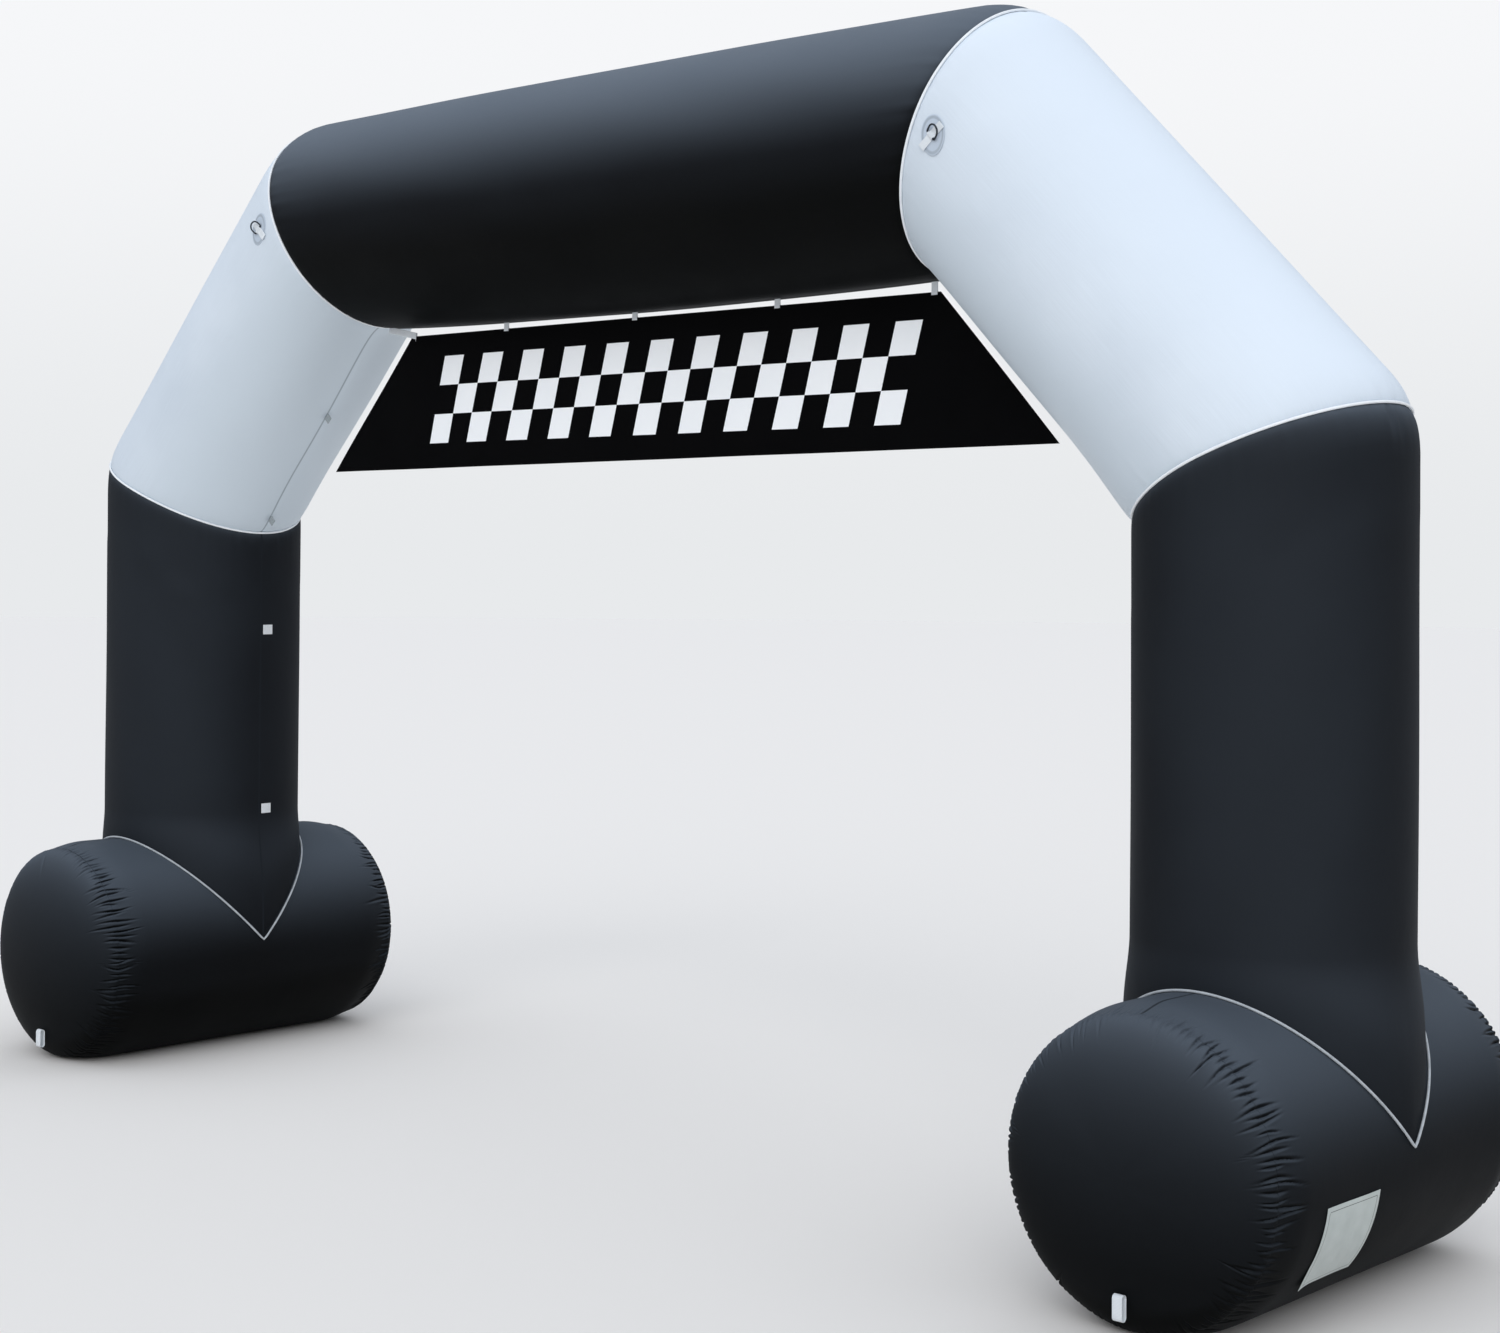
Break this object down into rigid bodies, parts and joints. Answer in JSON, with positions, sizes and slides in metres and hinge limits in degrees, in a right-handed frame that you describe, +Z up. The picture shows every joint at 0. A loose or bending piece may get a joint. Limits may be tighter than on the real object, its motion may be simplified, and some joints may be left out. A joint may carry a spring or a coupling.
{
  "type": "inflatable arch",
  "caption": "Black inflatable arch with white shoulders, standing on two foot tubes, with a banner tied under its beam.",
  "frame": {"origin": "on the floor, under the middle of the beam", "axes": "+X across the arch from the left foot to the right one, +Y from its front to its back, +Z up"},
  "size_m": [4.906, 1.28, 3.05],
  "materials": {
    "black_cloth": "satin coated polyester",
    "white_cloth": "satin coated polyester",
    "piping": "smooth piping tape",
    "webbing": "woven tape",
    "banner_cloth": "matt printed polyester",
    "label_cloth": "plain cotton tape",
    "ring_steel": "worn nickel plate"
  },
  "bodies": {
    "root": {"beam_tube": "black_cloth", "shoulder_tube_left": "white_cloth", "leg_tube_left": "black_cloth", "foot_tube_left": "black_cloth", "foot_cap_left_front": "black_cloth", "foot_cap_left_back": "black_cloth", "piping_lower_left": "piping", "piping_upper_left": "piping", "piping_saddle_left": "piping", "seam_tab_left_1": "webbing", "fastener_square_left_1": "webbing", "seam_tab_left_2": "webbing", "fastener_square_left_2": "webbing", "anchor_loop_left_front": "webbing", "ring_patch_left_front": "white_cloth", "ring_strap_left_front": "webbing", "guy_ring_left_front": "ring_steel", "anchor_loop_left_back": "webbing", "ring_patch_left_back": "white_cloth", "ring_strap_left_back": "webbing", "guy_ring_left_back": "ring_steel", "shoulder_tube_right": "white_cloth", "leg_tube_right": "black_cloth", "foot_tube_right": "black_cloth", "foot_cap_right_front": "black_cloth", "foot_cap_right_back": "black_cloth", "piping_lower_right": "piping", "piping_upper_right": "piping", "piping_saddle_right": "piping", "seam_tab_right_1": "webbing", "fastener_square_right_1": "webbing", "seam_tab_right_2": "webbing", "fastener_square_right_2": "webbing", "anchor_loop_right_front": "webbing", "ring_patch_right_front": "white_cloth", "ring_strap_right_front": "webbing", "guy_ring_right_front": "ring_steel", "anchor_loop_right_back": "webbing", "ring_patch_right_back": "white_cloth", "ring_strap_right_back": "webbing", "guy_ring_right_back": "ring_steel", "banner": "banner_cloth", "banner_tie_1": "webbing", "banner_tie_2": "webbing", "banner_tie_3": "webbing", "banner_tie_4": "webbing", "banner_tie_5": "webbing", "blank_label": "label_cloth"}
  },
  "joints": []
}
